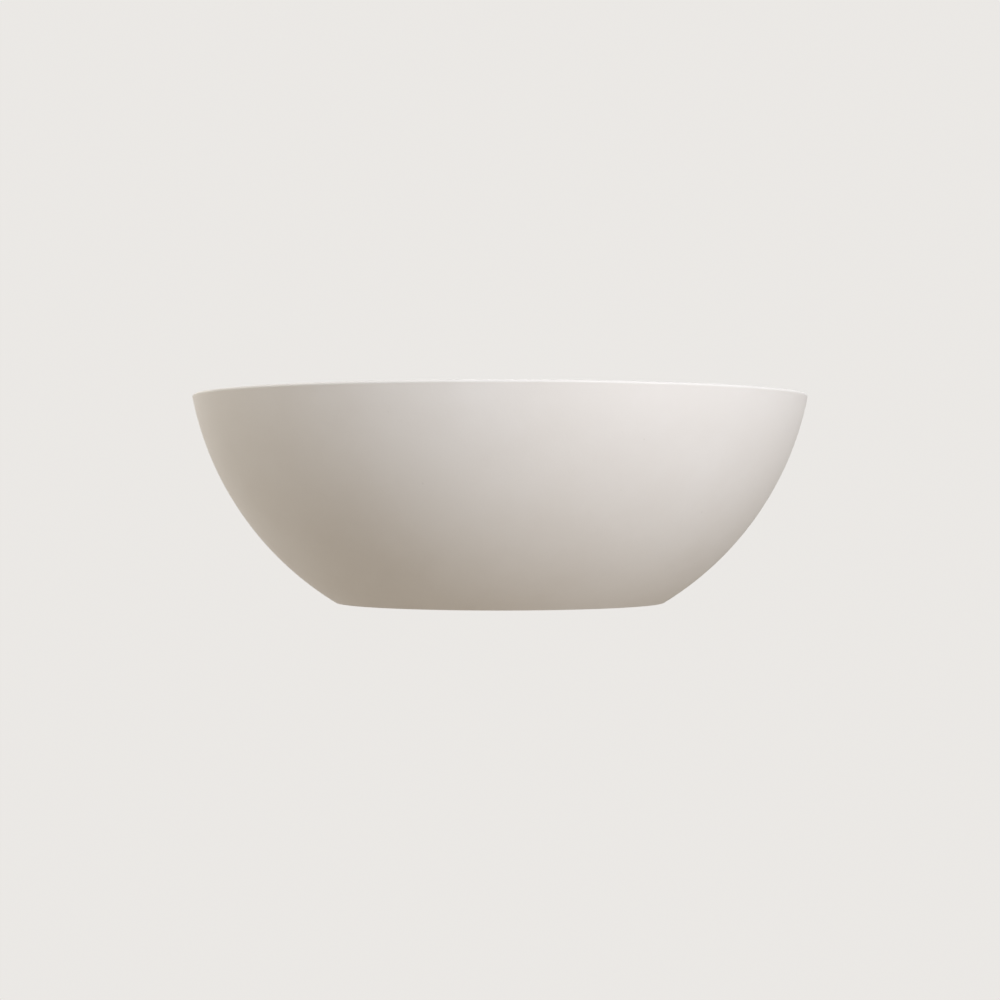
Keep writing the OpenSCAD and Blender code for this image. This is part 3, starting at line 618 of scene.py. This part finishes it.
def breakEdges(nodeName, pieceName, width, segments=2):
    # a merged copy of the node, with its sharp edges rounded as pressing or moulding leaves them
    bpy.ops.object.select_all(action="DESELECT")
    source = nodes[nodeName]
    source.select_set(True)
    bpy.context.view_layer.objects.active = source
    bpy.ops.object.duplicate()
    piece = bpy.context.object
    piece.name = pieceName
    piece.data.name = pieceName
    piece.parent = None
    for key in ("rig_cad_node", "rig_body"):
        del piece[key]
    piece.data.materials.clear()
    bpy.ops.object.mode_set(mode="EDIT")
    bpy.ops.mesh.select_all(action="SELECT")
    bpy.ops.mesh.remove_doubles(threshold=brokenEdge["merge"])
    bpy.ops.mesh.dissolve_limited(angle_limit=brokenEdge["flatWithin"])
    bpy.ops.object.mode_set(mode="OBJECT")
    bevel = piece.modifiers.new("edges", "BEVEL")
    bevel.width = width
    bevel.segments = segments
    bevel.limit_method = "ANGLE"
    bevel.angle_limit = brokenEdge["sharpFrom"]
    bevel.use_clamp_overlap = True
    bpy.ops.object.modifier_apply(modifier="edges")
    bpy.ops.object.shade_smooth_by_angle(angle=brokenEdge["smoothUpTo"])
    flat = piece.modifiers.new("flat", "WEIGHTED_NORMAL")
    flat.keep_sharp = True
    bpy.ops.object.modifier_apply(modifier="flat")
    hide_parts(nodeName)
    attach(piece, bodyOf[nodeName])
    piece.select_set(False)
    print("edges broken:", pieceName, len(piece.data.polygons), "faces")
    return piece


# ---------- shade ----------

shadeWall = {
    "arcCentre": (0.00159, 0.0784),     # of the wall's section: out from the middle, and up
    "coatEnd": 0.1441,      # from that centre to the end of the outer coat, just inside the rim
    "coatFade": 0.0007,
    "coatWander": 0.0012,
    "bareColours": [(0.815, 0.78, 0.725, 1), (0.785, 0.745, 0.685, 1)],
    "bareRough": 0.88,
    "bareGrain": 330,
    "bareHeight": 0.00004,
    "barePatches": 26,
    "edgeNoise": 70,
}


def bareInside():
    # the coat ends at the inner edges, and the bare casting inside it is creamier and coarser
    tree = paints["bisque"].node_tree
    shader = tree.nodes["Principled BSDF"]
    place = addNode(tree, "TexCoord").outputs["Object"]
    radius = lengthOf(tree, levelPart(tree, place))
    out = calculate(tree, "SUBTRACT", radius, shadeWall["arcCentre"][0])
    up = calculate(tree, "SUBTRACT", placeOf(tree, "Z"), shadeWall["arcCentre"][1])
    sides = addNode(tree, "CombineXYZ", {0: out, 1: up}).outputs[0]
    depth = lengthOf(tree, sides)
    wander = useGroup(tree, effects["grain"], Scale=shadeWall["edgeNoise"], Detail=4)
    edge = calculate(tree, "MULTIPLY_ADD", wander, shadeWall["coatWander"], depth)
    start = shadeWall["coatEnd"] + shadeWall["coatWander"] / 2
    bare = softStep(tree, edge, start + shadeWall["coatFade"], start - shadeWall["coatFade"])
    first, second = shadeWall["bareColours"]
    casting = useGroup(tree, effects["twoTone"], First=first, Second=second,
                       Scale=shadeWall["barePatches"])
    colour = mixColours(tree, bare, linked(shader, "Base Color"), casting)
    rough = addNode(tree, "Mix", {0: bare, 2: linked(shader, "Roughness"),
                                  3: shadeWall["bareRough"]}).outputs[0]
    coarse = useGroup(tree, effects["grain"], Scale=shadeWall["bareGrain"], Detail=5)
    height = calculate(tree, "MULTIPLY", coarse, bare)
    normal = addBump(tree, height, shadeWall["bareHeight"], linked(shader, "Normal"))
    tree.links.new(colour, shader.inputs["Base Color"])
    tree.links.new(rough, shader.inputs["Roughness"])
    tree.links.new(normal, shader.inputs["Normal"])


bareInside()
paint(nodes["shade"], "bisque")
paint(nodes["shade_inserts"], "brass")
print("shade painted")

# ---------- thumb screws and washers ----------

thumbScrew = {
    "edge": 0.00022,
    "washerEdge": 0.00012,
    "shoulder": 0.1016,     # where the thread starts, from the middle of the light
    "end": 0.120,
    "pitch": 0.0008,
    "threadDepth": 0.00035,
}
for side, sign in (("right", 1), ("left", -1)):
    screw = breakEdges("thumbscrew_" + side, side + "ThumbScrew", thumbScrew["edge"])
    ends = sorted((sign * thumbScrew["shoulder"], sign * thumbScrew["end"]))
    paint(screw, threaded("nickel", "X", *ends, thumbScrew["pitch"], thumbScrew["threadDepth"]))
    washer = breakEdges("washer_" + side, side + "Washer", thumbScrew["washerEdge"])
    paint(washer, "zincPlate")
print("thumb screws and washers made")

# ---------- wall bracket and cable grommet ----------

bracket = {"edge": 0.00035}
paint(breakEdges("wall_bracket", "bracketPlate", bracket["edge"], 3), "bracketSteel")
paint(nodes["cable_grommet"], "grommetRubber")
print("bracket made")

# ---------- lampholder and its arm ----------

holder = {
    "armEdge": 0.0003,
    "bodyEdge": 0.0005,
    "nutEdge": 0.00015,
    "clipEdge": 0.00008,
    # each thread's start, end, pitch and depth
    "armThread": (-0.0044, 0, 0.0007, 0.0003),
    "holderThread": (-0.060, -0.0425, 0.0005, 0.00022),
}
paint(breakEdges("lampholder_arm", "holderArm", holder["armEdge"], 3), "armSteel")
paint(breakEdges("lampholder", "holderBody", holder["bodyEdge"], 3), "holderCeramic")
paint(breakEdges("lamp_contacts", "holderClips", holder["clipEdge"]), "springBrass")
paint(breakEdges("arm_nuts", "armNuts", holder["nutEdge"]), "zincPlate")
paint(breakEdges("lampholder_nuts", "holderNuts", holder["nutEdge"]), "zincPlate")
armScrews = breakEdges("arm_screws", "armScrews", holder["nutEdge"])
paint(armScrews, threaded("zincPlate", "Y", *holder["armThread"]))
holderScrews = breakEdges("lampholder_screws", "holderScrews", holder["nutEdge"])
paint(holderScrews, threaded("zincPlate", "Z", *holder["holderThread"]))
print("lampholder made")

# ---------- terminal block ----------

block = {"edge": 0.0003, "screwEdge": 0.0001, "fixingThread": (-0.0025, 0, 0.00045, 0.0002)}
paint(breakEdges("terminal_block", "blockBody", block["edge"], 3), "blockNylon")
paint(nodes["terminal_tubes"], "brass")
paint(breakEdges("terminal_screws", "clampScrews", block["screwEdge"]), "zincPlate")
fixing = breakEdges("terminal_fixing", "blockFixing", block["screwEdge"])
paint(fixing, threaded("zincPlate", "Y", *block["fixingThread"]))
print("terminal block made")

# ---------- wires and earth point ----------

earthPoint = {
    "tagEdge": 0.0001,
    "washerEdge": 0.00006,
    "screwEdge": 0.00015,
    "thread": (-0.006, 0, 0.0007, 0.0003),
}
wireFinish = {
    "lead_live": "wireBrown",
    "lead_neutral": "wireBlue",
    "lead_earth": "wireGreen",
    "lead_sleeves": "glassSleeve",
    "wire_ferrules": "tinPlate",
}
for nodeName, finish in wireFinish.items():
    paint(nodes[nodeName], finish)
paint(breakEdges("earth_tag", "earthTag", earthPoint["tagEdge"]), "tinPlate")
paint(breakEdges("earth_washer", "earthWasher", earthPoint["washerEdge"]), "zincPlate")
earthScrew = breakEdges("earth_screw", "earthScrew", earthPoint["screwEdge"])
paint(earthScrew, threaded("brass", "Y", *earthPoint["thread"]))
print("wires and earth point made")

# ---------- lamp ----------

lamp = {"baseEdge": 0.0003}
paint(breakEdges("bulb_base", "lampBase", lamp["baseEdge"], 3), "lampWhite")
paint(nodes["bulb_pins"], "tinPlate")
paint(nodes["bulb_board"], "boardWhite")
paint(nodes["bulb_chips"], "phosphor")
paint(nodes["bulb_cover"], "milkyCover")
print("lamp made")

# ---------- end ----------

bpy.ops.object.select_all(action="DESELECT")
